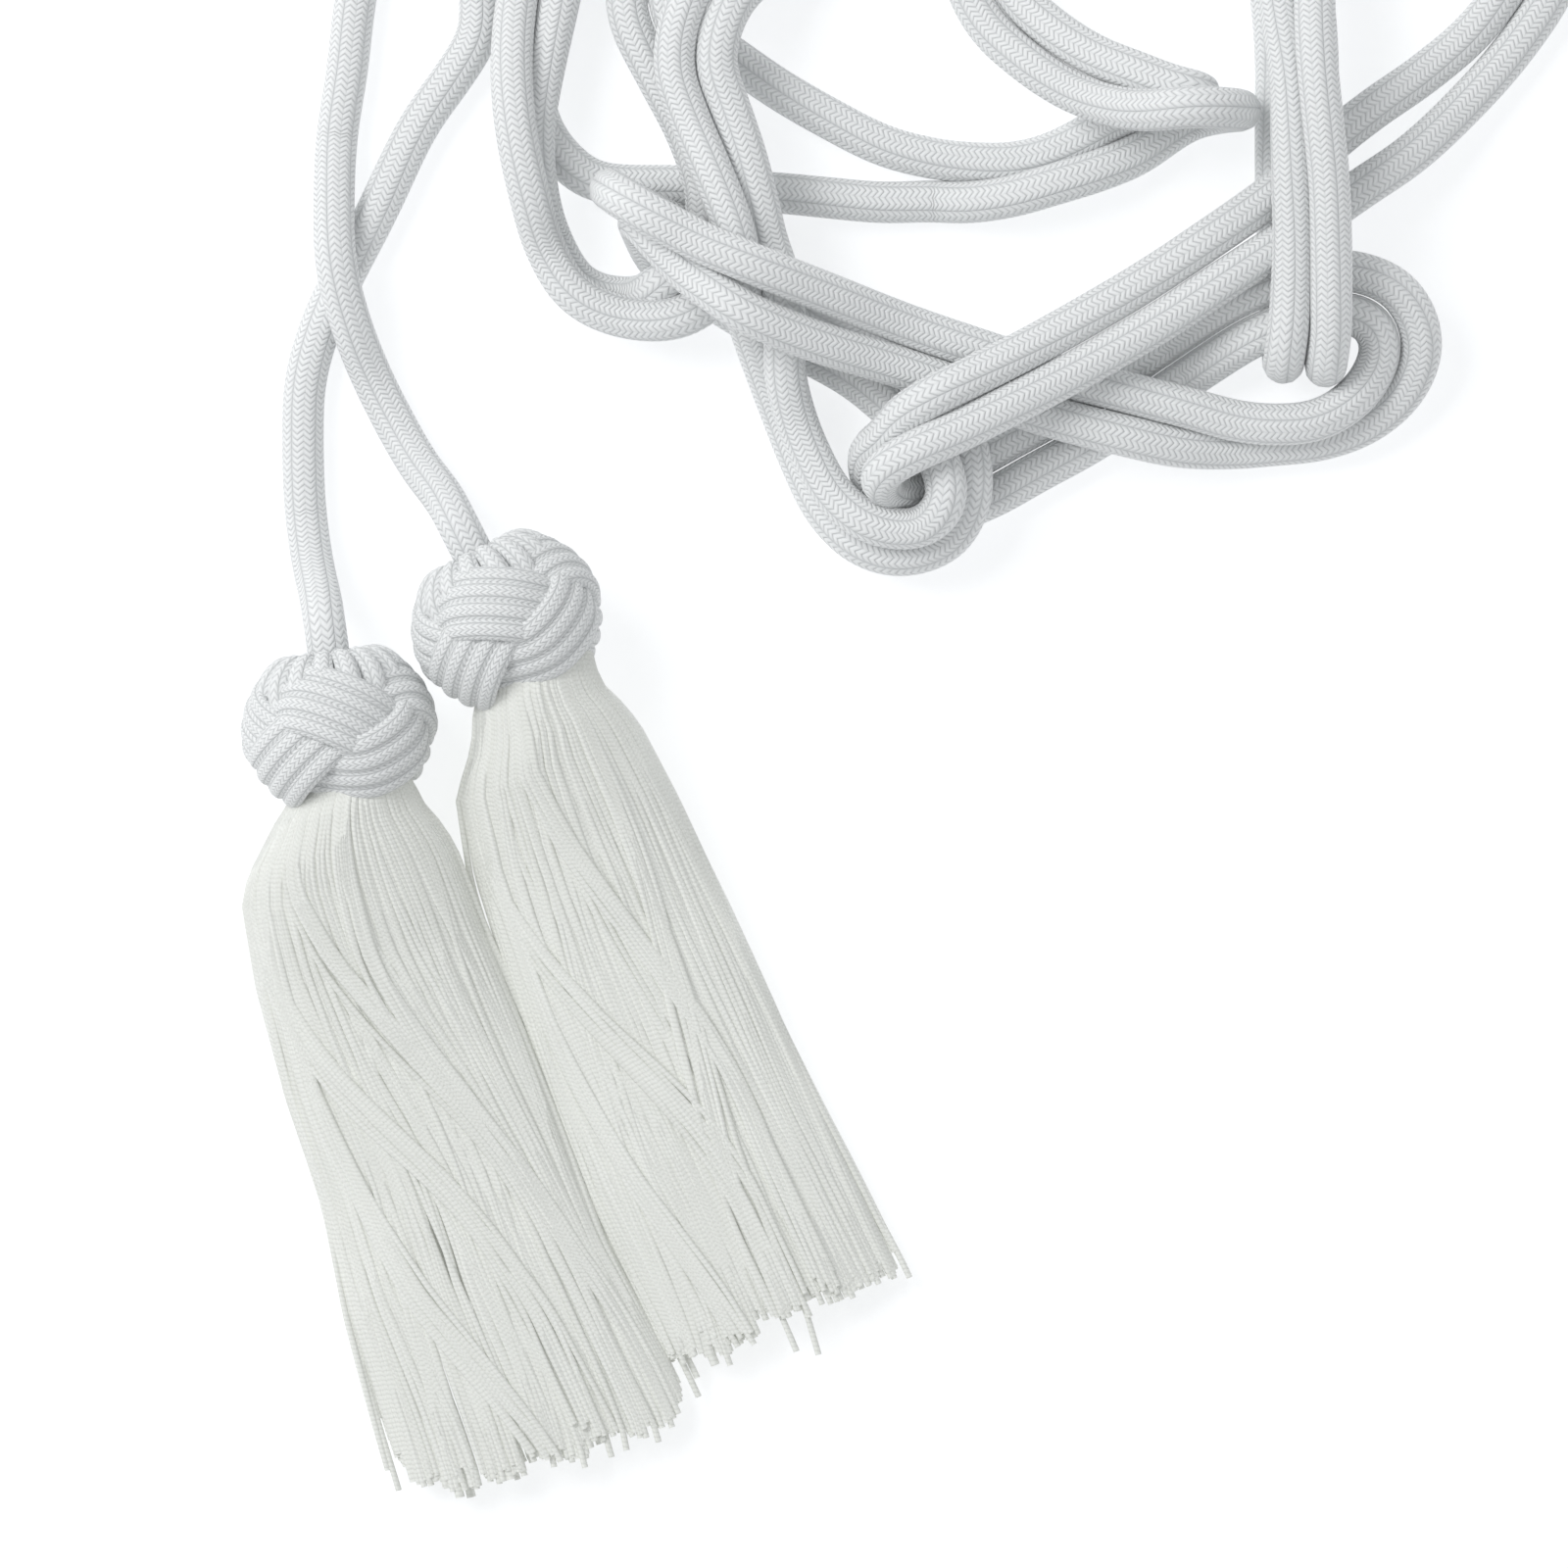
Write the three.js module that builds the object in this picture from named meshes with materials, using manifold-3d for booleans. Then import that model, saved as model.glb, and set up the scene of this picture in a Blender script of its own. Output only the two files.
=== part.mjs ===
// A white cincture: a long braided cord laid doubled in loops, with a knotted tassel at each end.
// Millimetres. +X is the picture's right, +Y its top, +Z up from the table.

import * as THREE from 'three';
import { mergeVertices } from 'three/addons/utils/BufferGeometryUtils.js';
import Module from 'manifold-3d';

const wasm = await Module();
wasm.setup();

// Cord
const cordDiameter = 8.2;
const strandGap = 0.4; // air between strands that lie side by side or on each other
const cordSides = 8;

// Knots
const knotDiameter = 39;
const knotLength = 36;
const knotMouthDiameter = 24; // the opening that the fringe hangs from
const headDepth = 8; // how far the bound head reaches past the knot's middle, towards the cord
const bandWidth = 14; // four thin cords laid side by side
const reliefDepth = 3.2; // from the top of an upper band to the seam between bands
const fitGap = 0.3; // air between pieces that touch

// Tassels
const skirtLength = 152; // from the knot's middle to the longest threads
const skirtHalfWidth = 30;
const lockCount = 12;
const lockThickness = 5;
const tasselGap = 0.9; // air between the two tassels

// Where the tassels lie, and how far each is turned from straight down the picture
const leftKnotPlace = [-45.5, 56.5];
const leftTurn = 15.3;
const rightTurn = 21.6;
const leftKnotTurn = 8; // the knots follow the cord
const rightKnotTurn = 27;
const rightKnotAhead = 7.7; // how far the right knot lies up the picture past the left one

// The tail from the right knot: x, y, storey. A storey is one strand's height above the table.
const rightTail = [
  [-24.5, 104, 1.25],
  [-29.5, 110.5, 0.55],
  [-34.5, 119, 0.1],
  [-39.5, 129, 0.1],
  [-44, 141, 0.8],
  [-46.5, 152, 1.05],
  [-47, 165.5, 0.6],
  [-46.5, 178.5, 0],
  [-44.5, 191.5, 0],
  [-43, 204.5, 0],
  [-40.5, 218, 0],
  [-36, 231, 0],
];

// The tail from the left knot, beneath the other one
const leftTail = [
  [-49.5, 83.5, 1.25],
  [-51.3, 90.5, 0.45],
  [-53, 102, 0],
  [-53.5, 116, 0],
  [-53, 128, 0],
  [-50, 139, 0],
  [-45.5, 149, 0],
  [-38.5, 162.5, 0],
  [-30, 180, 0],
  [-22, 191.5, 0],
  [-18, 198.5, 0],
  [-17.5, 207, 0],
  [-19.5, 218, 0],
  [-22, 230, 0],
];

// The doubled cord, two strands side by side: x and y midway between them, storey, the tilt in
// degrees that lays one strand on the other, and how far they are spread where they part
const pairRoute = [
  // the first turn, past the picture's top edge
  [-27.5, 242, 0, 0],
  [-24.5, 256, 0, 0],
  [-13.5, 266, 0, 0],
  [-1, 262, 0, 0],
  [4.5, 249, 0.8, 0],
  [2.5, 234, 1, 0],
  [-2.5, 219, 1, 0],
  [-5.5, 205, 1.1, -10],
  // down to the left bight and back up
  [-7.5, 191.5, 1.3, -40],
  [-8, 179, 1.45, -65],
  [-6.5, 167, 1.2, -78],
  [-3.5, 156, 0.5, -78],
  [2.5, 146.5, 0.48, -75],
  [12.5, 143, 0.55, -60],
  [22.5, 144.8, 1.2, -10],
  [30.5, 152.5, 1.05, 0],
  [33, 165, 1.05, 0],
  [29, 179, 1, 0],
  [22.5, 191.5, 1, 0],
  // the second turn, past the top edge
  [17, 203, 1, 0],
  [17, 212, 1, 0],
  [19.5, 223, 1, 0],
  [25.5, 234, 0.4, 0],
  [35.5, 240, 0, 0],
  [45.5, 237, 0, 0],
  [48.5, 227, 0.2, 0],
  [42, 217, 0.8, 0],
  [33, 210, 1.6, 0],
  [28, 201, 2.05, 0],
  // down to the middle bight
  [26.5, 191.5, 2.1, 0],
  [29.4, 182, 2.15, -8],
  [33, 172.5, 2.3, -25],
  [36.6, 161.6, 2.3, -42],
  [38.2, 155, 2.15, -45],
  [39.5, 148, 1.9, -15],
  [40.8, 141, 1.5, 25],
  [42.3, 131, 1.1, 62],
  [45.4, 121, 0.6, 74],
  [48.8, 112.5, 0.55, 74],
  [53.5, 103.5, 0.7, 68],
  [60.5, 97, 0.95, 58],
  [68, 95, 1, 52],
  [75.5, 97, 1.15, 54],
  [80, 104, 1.55, 56],
  [78.5, 113.5, 1.35, 40],
  [73.5, 121, 0.45, 10],
  // up to the left, beneath the next run
  [67.5, 127, 0.15, 0],
  [60.5, 132.5, 0, 0],
  [50.5, 138, 0, 0],
  [38.5, 144.5, 0, 0],
  [28, 151.3, 0, 0],
  [21.8, 155.5, 0.15, 5],
  // folded back over itself
  [17.3, 158.6, 0.7, 45],
  [13.8, 161.6, 1.3, 72],
  [12, 163.2, 2.05, 82],
  [13.8, 161.8, 2.8, 80],
  [17.5, 159.1, 3, 72],
  [22, 155.6, 3, 57],
  // down to the right, on top
  [27, 151.8, 3.15, 40],
  [32, 149, 3.35, 22],
  [37.5, 146, 3.4, 5, 1.1],
  [51.5, 140.5, 2.6, 0, 1.15],
  [68, 135, 1.6, 0],
  [84.5, 129.5, 1.3, 0],
  [100.5, 124.5, 1.1, 0],
  [114.5, 121, 1, 0],
  [125.5, 118.5, 0.8, 20],
  [136, 117, 0.5, 50],
  // round the right bight
  [144.5, 117, 0.5, 62],
  [153.5, 118, 0.5, 62],
  [162, 122, 0.5, 48],
  [168, 128.5, 0.55, 28],
  [170, 136, 0.8, 10],
  [166.5, 143, 1, 0],
  [159, 146, 1.05, 0],
  [149, 145, 1, 0],
  [138.5, 141, 0.9, 0],
  [125.5, 133, 0.05, 0],
  [114.5, 125.5, 0, 0],
  [104.5, 119, 0, 0],
  [93.5, 113, 0, 0],
  [84.5, 108, 0, 0],
  // hooked round the middle bight
  [75.5, 104.5, 0.25, -30],
  [69.5, 104, 0.45, -60],
  [65.5, 106.5, 0.75, -70],
  [63.2, 110, 1.4, -75],
  [65, 113, 2.1, -60],
  [70, 117, 2.45, -30],
  // up to the right, on top
  [76.5, 120.5, 2.6, 0],
  [86.5, 125.5, 2.4, 0],
  [98, 131.5, 2.1, 0],
  [118, 143, 1.9, 0],
  [131, 151.5, 1.8, 0],
  [148.5, 163.5, 1.1, 0, 1.1],
  [158.5, 171.5, 1, 0, 1.3],
  [168, 178.5, 0.7, 0, 1.4],
  // the third turn, past the right edge
  [178.5, 187, 0.2, 0, 1.2],
  [189.5, 198, 0, 0],
  [198.5, 212, 0, 0],
  [202.5, 228, 0, 0],
  [198, 244, 0, 0],
  [186.5, 254, 0, 0],
  [172.5, 254, 0, 0],
  [160.5, 246, 0.3, 0],
  [152.5, 234, 0.9, 0],
  [148.5, 218, 1.3, 12],
  // down over the others, and folded back beneath them
  [148.5, 204, 1.9, 38],
  [149.5, 190.5, 2.4, 50],
  [150.3, 179, 2.5, 43],
  [151, 168, 2.45, 33],
  [151.3, 157, 2.35, 30],
  [151.2, 146, 2.25, 22],
  [150.8, 137, 2.1, 0],
  [150.3, 133, 1.8, 0],
  [150.2, 130.9, 1.08, 0],
  [150.3, 133, 0.3, 0],
  [150.3, 138, 0, 0],
  [149.6, 146, 0, 0],
  [149.2, 158, 0, 0],
  [149, 170, 0, 0],
  [149, 182, 0, 0],
  [149, 194, 0, 0],
  // the fourth turn, past the top edge
  [148, 206, 0, 0],
  [145.5, 218, 0, 0],
  [140.5, 231, 0, 0],
  [129.5, 241, 0, 0],
  [114.5, 244, 0, 0],
  [99.5, 239, 0, 0],
  [88.5, 228, 0, 0],
  [84.5, 215, 0.1, 0],
  [88.5, 204, 0.4, 0],
  // right to a fold, and back to the left beneath
  [96.5, 196, 0.9, 0],
  [105.5, 190, 1.35, 0],
  [114.5, 186.5, 1.9, -20],
  [120.5, 185, 2.2, -45],
  [126, 184.7, 2.42, -62],
  [130.6, 184.5, 2.15, -67],
  [133.4, 184.3, 1.4, -70],
  [130.6, 184, 0.65, -67],
  [126, 183.3, 0.42, -60],
  [120.5, 181.2, 0.35, -38],
  [114.5, 178, 0.15, 5],
  [106.5, 174, 0.25, 30],
  [98.5, 171, 0.3, 42],
  [90.5, 169, 0.3, 35],
  [81.5, 168.5, 0.15, 15],
  [75.5, 169, 0, 0],
];

// The cord's middle, where the two strands part and meet in one loop
const middleLoop = [
  [65, 176, 0],
  [53, 182, 0],
  [43.5, 187.5, 0],
  [35.5, 193, 0],
  [27.5, 199, 0],
  [20.5, 207, 0],
  [15, 217, 0],
  [12, 228, 0],
  [6.5, 238, 0],
  [-1.5, 240.5, 0],
  [-7, 234, 0],
  [-9, 223, 0],
  [-9, 211, 0],
  [-8, 199, 0],
  [-7, 188, 0],
  [-4.5, 179, 0],
  [0, 173, 0],
  [5.5, 169, 0],
  [13.5, 168, 0],
  [22.5, 168, 0],
  [32.5, 167, 0],
  [42.5, 166.5, 0],
  [53, 165.5, 0],
  [64.5, 164.5, 0],
];

// A fringe's outline: along as a share of skirtLength, its left and right edges as shares of
// skirtHalfWidth, its top and underside as shares of knotDiameter
const leftSkirt = [
  { along: 0.132, left: 0.72, right: 0.44, top: 0.8, under: 0.15 },
  { along: 0.155, left: 0.86, right: 0.5, top: 0.78, under: 0.1 },
  { along: 0.19, left: 0.96, right: 0.54, top: 0.73, under: 0.04 },
  { along: 0.3, left: 1.02, right: 0.58, top: 0.58, under: -0.05 },
  { along: 0.45, left: 1.03, right: 0.68, top: 0.46, under: -0.05 },
  { along: 0.6, left: 0.99, right: 0.73, top: 0.39, under: -0.05 },
  { along: 0.75, left: 1.02, right: 0.75, top: 0.35, under: -0.05 },
  { along: 0.93, left: 1.0, right: 0.86, top: 0.28, under: -0.05 },
];
const rightSkirt = [
  { along: 0.132, left: 0.52, right: 0.47, top: 0.8, under: 0.15 },
  { along: 0.155, left: 0.6, right: 0.53, top: 0.78, under: 0.1 },
  { along: 0.19, left: 0.75, right: 0.58, top: 0.73, under: 0.04 },
  { along: 0.3, left: 0.86, right: 0.64, top: 0.58, under: -0.05 },
  { along: 0.45, left: 0.91, right: 0.69, top: 0.46, under: -0.05 },
  { along: 0.6, left: 0.93, right: 0.73, top: 0.39, under: -0.05 },
  { along: 0.75, left: 0.94, right: 0.76, top: 0.35, under: -0.05 },
  { along: 0.93, left: 0.88, right: 0.82, top: 0.28, under: -0.05 },
];

// Each lock's length as a share of skirtLength, from the left edge to the right
const leftLockEnds = [0.95, 0.98, 1.0, 1.01, 1.02, 1.02, 1.01, 1.0, 1.0, 0.99, 0.98, 0.97];
const rightLockEnds = [0.97, 0.99, 1.0, 1.0, 0.98, 0.97, 0.98, 0.99, 0.99, 0.99, 0.98, 0.97];

const storeyHeight = cordDiameter + strandGap;
const knotRadius = knotDiameter / 2;
const mouthRadius = knotMouthDiameter / 2;
const cordHoleRadius = cordDiameter / 2 + fitGap;

const white = (colour, roughness) => new THREE.MeshStandardMaterial({ color: colour, roughness, metalness: 0 });
const cordWhite = 0xeef0f0;
const knotWhite = 0xf0f2f1;
const fringeWhite = 0xf1f3ea;

function radians(degrees) {
  return THREE.MathUtils.degToRad(degrees);
}

// A solid from rings of points, each joined to the next. It is capped at both ends, or joined
// from the last ring to the first one.
function ringSolid(rings, closed = false) {
  const sides = rings[0].length;
  const points = rings.flat();
  const faces = [];
  const joins = closed ? rings.length : rings.length - 1;
  for (let i = 0; i < joins; i++) {
    const from = i * sides;
    const to = ((i + 1) % rings.length) * sides;
    for (let j = 0; j < sides; j++) {
      const k = (j + 1) % sides;
      faces.push([from + j, from + k, to + k], [from + j, to + k, to + j]);
    }
  }
  if (!closed) {
    const last = (rings.length - 1) * sides;
    for (let j = 1; j < sides - 1; j++) {
      faces.push([0, j + 1, j], [last, last + j, last + j + 1]);
    }
  }
  const volume = faces.reduce(
    (sum, [a, b, c]) => sum + points[a].dot(new THREE.Vector3().crossVectors(points[b], points[c])),
    0,
  );
  const outward = volume < 0 ? faces.map(([a, b, c]) => [a, c, b]) : faces;
  const geometry = new THREE.BufferGeometry().setFromPoints(points);
  geometry.setIndex(outward.flat());
  return geometry;
}

function toManifold(geometry) {
  const bare = geometry.clone();
  bare.deleteAttribute('normal');
  bare.deleteAttribute('uv');
  const merged = mergeVertices(bare, 1e-4);
  return new wasm.Manifold(
    new wasm.Mesh({
      numProp: 3,
      vertProperties: new Float32Array(merged.attributes.position.array),
      triVerts: new Uint32Array(merged.index.array),
    }),
  );
}

function fromManifold(solid) {
  const mesh = solid.getMesh();
  const geometry = new THREE.BufferGeometry();
  geometry.setAttribute('position', new THREE.BufferAttribute(mesh.vertProperties, 3));
  geometry.setIndex(new THREE.BufferAttribute(mesh.triVerts, 1));
  geometry.computeVertexNormals();
  return geometry;
}

// The woven band of the knot: three turns round the ball while it swings four times between the
// cord's end and the mouth, over and under in turn
const bandTurns = 3;
const bandSwings = 4;
const cordEndLatitude = -Math.acos(cordHoleRadius / knotRadius);
const mouthLatitude = Math.acos(mouthRadius / knotRadius);
const bandMiddle = (cordEndLatitude + mouthLatitude) / 2;
const bandReach = (mouthLatitude - cordEndLatitude) / 2 - (0.5 * bandWidth) / knotRadius;

function bandHeight(latitude, around) {
  let highest = 0;
  for (let turn = 0; turn < bandTurns; turn++) {
    const rate = bandSwings / bandTurns;
    let phase = (around + turn * 2 * Math.PI) * rate;
    const slope = Math.atan((bandReach * Math.cos(phase) * rate) / Math.cos(latitude));
    const climb = latitude - bandMiddle - bandReach * Math.sin(phase);
    phase += (climb * Math.sin(slope) * Math.cos(slope) * rate) / Math.cos(latitude);
    const side = (climb * Math.cos(slope) * knotRadius) / (bandWidth / 2);
    if (Math.abs(side) < 1) {
      const crown = 1 - 0.45 * side * side;
      const over = 0.5 + 0.5 * THREE.MathUtils.clamp(1.6 * Math.sin(2 * phase), -1, 1);
      highest = Math.max(highest, crown * (0.55 + 0.45 * over));
    }
  }
  return highest;
}

function knotGeometry() {
  const around = 44;
  const rows = 20;
  const rings = [];
  const ring = (along, radiusAt) => {
    const points = [];
    for (let j = 0; j < around; j++) {
      const angle = (2 * Math.PI * j) / around;
      const radius = radiusAt(angle);
      points.push(new THREE.Vector3(along, radius * Math.cos(angle), radius * Math.sin(angle)));
    }
    rings.push(points);
  };
  for (let i = 0; i <= rows; i++) {
    const latitude = THREE.MathUtils.lerp(cordEndLatitude, mouthLatitude, i / rows);
    const edge = Math.min(1, 6 * Math.min(i / rows, 1 - i / rows));
    const round = knotRadius * Math.cos(latitude);
    ring((knotLength / 2) * Math.sin(latitude), (angle) => {
      const dip = edge * reliefDepth * (1 - bandHeight(latitude, angle));
      return round - dip * Math.cos(latitude);
    });
  }
  ring(-headDepth, () => mouthRadius);
  ring(-headDepth, () => cordHoleRadius);
  return ringSolid(rings, true);
}

// One section across the fringe, an oval from its underside to its top
function ovalRing(along, left, right, under, top, sides) {
  const points = [];
  for (let j = 0; j < sides; j++) {
    const angle = (2 * Math.PI * (j + 0.5)) / sides;
    const across = THREE.MathUtils.lerp(-left, right, 0.5 + 0.5 * Math.cos(angle));
    const up = THREE.MathUtils.lerp(under, top, 0.5 + 0.5 * Math.sin(angle));
    points.push(new THREE.Vector3(along, across, up - knotRadius));
  }
  return points;
}

// The outline's sizes at any share of the fringe's length
function sectionAt(skirt, along) {
  let i = 1;
  while (i < skirt.length - 1 && skirt[i].along < along) i++;
  const a = skirt[i - 1];
  const b = skirt[i];
  const share = THREE.MathUtils.clamp((along - a.along) / (b.along - a.along), 0, 1);
  const between = (key) => THREE.MathUtils.lerp(a[key], b[key], share);
  return {
    left: between('left') * skirtHalfWidth,
    right: between('right') * skirtHalfWidth,
    top: between('top') * knotDiameter,
    under: between('under') * knotDiameter,
  };
}

function lockGeometry(skirt, index, end) {
  const share = (index + 0.5) / lockCount;
  const stations = [0.2, 0.34, 0.5, 0.66, 0.82, 0.92];
  const rings = stations.map((station) => {
    const along = station * end;
    const size = sectionAt(skirt, along);
    const sway = 0.018 * Math.sin(7 * station + 2.1 * index);
    const across = THREE.MathUtils.lerp(-size.left, size.right, 0.03 + 0.94 * share + sway);
    const half = (0.6 * (size.left + size.right)) / lockCount;
    const middle = (size.left - size.right) / -2;
    const reach = (2 * (across - middle)) / (size.left + size.right);
    const arch = Math.sqrt(Math.max(0, 1 - reach * reach));
    const height = (size.top + size.under) / 2 + (0.5 * arch * (size.top - size.under));
    const top = Math.max(height + 0.25 * lockThickness, lockThickness * 0.8);
    const keepIn = Math.max(-across - size.left + half, across - size.right + half, 0);
    return ovalRing(
      along * skirtLength,
      half - across - keepIn * Math.sign(across),
      across + half - keepIn * Math.sign(across),
      top - lockThickness,
      top,
      6,
    );
  });
  const tip = rings.at(-1);
  const centre = tip.reduce((sum, point) => sum.add(point), new THREE.Vector3()).divideScalar(tip.length);
  const point = tip.map((p) => p.clone().lerp(centre, 0.55).setX(end * skirtLength));
  return ringSolid([...rings, point]);
}

function tasselGeometry(skirt, lockEnds, headTurn) {
  const body = skirt.map((row) => {
    const size = sectionAt(skirt, row.along);
    return ovalRing(row.along * skirtLength, size.left, size.right, size.under, size.top, 14);
  });
  const headRadius = mouthRadius - fitGap;
  const headRing = (along) =>
    ovalRing(along, headRadius, headRadius, knotRadius - headRadius, knotRadius + headRadius, 14);
  const head = ringSolid([headRing(fitGap - headDepth), headRing((skirt[0].along + 0.01) * skirtLength)]);
  head.rotateZ(headTurn);
  let solid = toManifold(ringSolid(body)).add(toManifold(head));
  lockEnds.forEach((end, index) => {
    solid = solid.add(toManifold(lockGeometry(skirt, index, end)));
  });
  const table = new THREE.BoxGeometry(3 * skirtLength, 3 * skirtLength, knotDiameter);
  table.translate(0, 0, -knotRadius - knotDiameter / 2);
  return fromManifold(solid.subtract(toManifold(table)));
}

// A tassel's own group: local +X runs from the knot to the fringe's tips, and the knot's lowest
// point is on the table
function tasselGroup(side, place, turn, knotTurn, skirt, lockEnds) {
  const group = new THREE.Group();
  const knot = new THREE.Mesh(knotGeometry(), white(knotWhite, 0.8));
  knot.name = `${side}_knot`;
  knot.rotation.z = radians(knotTurn - turn);
  const fringe = new THREE.Mesh(tasselGeometry(skirt, lockEnds, knot.rotation.z), white(fringeWhite, 0.85));
  fringe.name = `${side}_tassel`;
  group.add(knot, fringe);
  group.position.set(place.x, place.y, knotRadius);
  group.rotation.z = radians(turn - 90);
  group.updateMatrixWorld(true);
  return group;
}

// The right tassel lies beside the left one, clear of it at the fringes and at the knots
function rightKnotPlace() {
  const nearest = { left: leftSkirt.at(-1), right: rightSkirt.at(-1) };
  const spread = nearest.left.along * skirtLength * Math.sin(radians(rightTurn - leftTurn));
  const fringes = (nearest.left.right + nearest.right.left) * skirtHalfWidth - spread;
  const aside = Math.max(fringes, knotDiameter) + tasselGap;
  const turn = radians(rightTurn);
  return new THREE.Vector2(
    leftKnotPlace[0] + aside * Math.cos(turn) - rightKnotAhead * Math.sin(turn),
    leftKnotPlace[1] + aside * Math.sin(turn) + rightKnotAhead * Math.cos(turn),
  );
}

function routePoint([x, y, storey]) {
  return new THREE.Vector3(x, y, cordDiameter / 2 + storey * storeyHeight);
}

// The two strands of the doubled cord. Each lies half a spacing from the route, to the side that
// the strand was on before, turned about the route by the tilt.
function pairStrands(route) {
  const middle = route.map(routePoint);
  const first = [];
  const second = [];
  let side = new THREE.Vector3(-1, 0, 0);
  route.forEach(([, , , tilt, spread = 1], i) => {
    const before = middle[Math.max(i - 1, 0)];
    const after = middle[Math.min(i + 1, middle.length - 1)];
    const heading = after.clone().sub(before).normalize();
    const level = new THREE.Vector3(-heading.y, heading.x, 0);
    if (level.length() > 0.4) {
      level.normalize();
      if (level.dot(side) < 0) level.negate();
      side = level;
    } else {
      side = side.clone().addScaledVector(heading, -side.dot(heading)).normalize();
    }
    const rise = new THREE.Vector3().crossVectors(heading, side);
    const offset = side.clone().multiplyScalar(Math.cos(radians(tilt)));
    offset.addScaledVector(rise, Math.sin(radians(tilt))).multiplyScalar((spread * storeyHeight) / 2);
    first.push(middle[i].clone().add(offset));
    second.push(middle[i].clone().sub(offset));
  });
  return [first, second];
}

// The cord leaves a knot from inside its hole, straight out along the knot's axis
function knotExit(group) {
  const knot = group.children[0];
  return [-headDepth - fitGap, -knotLength / 2, -knotLength / 2 - cordDiameter / 2].map((x) =>
    new THREE.Vector3(x, 0, 0).applyMatrix4(knot.matrixWorld),
  );
}

// A path whose steps fall on the points that it was given
class SteppedPath extends THREE.Curve {
  constructor(points) {
    super();
    this.curve = new THREE.CatmullRomCurve3(points, false, 'centripetal');
  }

  // nowhere lower than a cord that lies on the table
  getPoint(t, target) {
    const point = this.curve.getPoint(t, target);
    point.z = Math.max(point.z, cordDiameter / 2 + 0.05);
    return point;
  }

  getPointAt(u, target) {
    return this.getPoint(u, target);
  }

  getTangentAt(u, target) {
    return this.curve.getTangent(u, target);
  }
}

function cordMesh(leftGroup, rightGroup) {
  const [first, second] = pairStrands(pairRoute);
  const points = [
    ...knotExit(rightGroup),
    ...rightTail.map(routePoint),
    ...first,
    ...middleLoop.map(routePoint),
    ...second.reverse(),
    ...leftTail.map(routePoint).reverse(),
    ...knotExit(leftGroup).reverse(),
  ];
  const section = new THREE.Shape();
  for (let i = 0; i < cordSides; i++) {
    const angle = (2 * Math.PI * i) / cordSides;
    const x = (cordDiameter / 2) * Math.cos(angle);
    const y = (cordDiameter / 2) * Math.sin(angle);
    if (i === 0) section.moveTo(x, y);
    else section.lineTo(x, y);
  }
  section.closePath();
  const geometry = new THREE.ExtrudeGeometry(section, {
    steps: points.length - 1,
    extrudePath: new SteppedPath(points),
  });
  const mesh = new THREE.Mesh(geometry, white(cordWhite, 0.75));
  mesh.name = 'cord';
  return mesh;
}

const leftPlace = new THREE.Vector2(...leftKnotPlace);
const leftTassel = tasselGroup('left', leftPlace, leftTurn, leftKnotTurn, leftSkirt, leftLockEnds);
const rightPlace = rightKnotPlace();
const rightTassel = tasselGroup(
  'right',
  rightPlace,
  rightTurn,
  rightKnotTurn,
  rightSkirt,
  rightLockEnds,
);
const cord = cordMesh(leftTassel, rightTassel);

// The origin is on the table, below the middle of the two tassels
const tassels = new THREE.Box3().expandByObject(leftTassel, true).expandByObject(rightTassel, true);
const middle = tassels.getCenter(new THREE.Vector3());
const group = new THREE.Group();
group.add(leftTassel, rightTassel, cord);
group.position.set(-middle.x, -middle.y, -tassels.min.z);
group.updateMatrixWorld(true);

export default group;
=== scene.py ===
# A white cincture laid out on a pale table: braided cord, two woven knots and two long fringes.
# Lengths are in millimetres until a mesh is made, and the table is z = 0.
import math
import random
import bpy
import numpy as np
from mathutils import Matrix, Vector


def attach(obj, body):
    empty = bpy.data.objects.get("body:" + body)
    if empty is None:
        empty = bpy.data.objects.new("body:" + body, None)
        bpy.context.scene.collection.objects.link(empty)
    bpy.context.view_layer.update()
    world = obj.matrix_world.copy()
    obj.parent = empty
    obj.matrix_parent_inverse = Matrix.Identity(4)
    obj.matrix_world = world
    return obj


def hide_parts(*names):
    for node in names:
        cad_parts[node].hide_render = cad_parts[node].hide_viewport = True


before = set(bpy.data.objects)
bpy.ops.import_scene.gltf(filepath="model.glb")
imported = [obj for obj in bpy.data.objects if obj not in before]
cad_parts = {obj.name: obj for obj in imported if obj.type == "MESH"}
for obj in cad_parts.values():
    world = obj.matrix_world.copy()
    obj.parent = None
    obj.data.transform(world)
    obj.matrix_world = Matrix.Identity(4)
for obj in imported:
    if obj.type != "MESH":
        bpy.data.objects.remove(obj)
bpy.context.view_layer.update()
bpy.ops.object.select_all(action="DESELECT")
print("frame loaded")

mm = 0.001
shift = np.array([1.02, -0.60, 0.0])  # from the picture's own place to the row's origin

# Camera
cameraSettings = {
    "centre": (44.5, 46.0),
    "frameWidth": 320.0,
    "lens": 300.0,
    "sensor": 36.0,
    "farthest": 20,  # metres
}


def addCamera(settings):
    distance = settings["frameWidth"] * settings["lens"] / settings["sensor"]
    place = np.array([*settings["centre"], distance]) + shift
    bpy.ops.object.camera_add(location=place * mm, rotation=(0, 0, 0))
    camera = bpy.context.object
    camera.data.lens = settings["lens"]
    camera.data.sensor_width = settings["sensor"]
    camera.data.clip_end = settings["farthest"]
    bpy.context.scene.camera = camera


addCamera(cameraSettings)

# Meshes from arrays, for cords and threads


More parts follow.
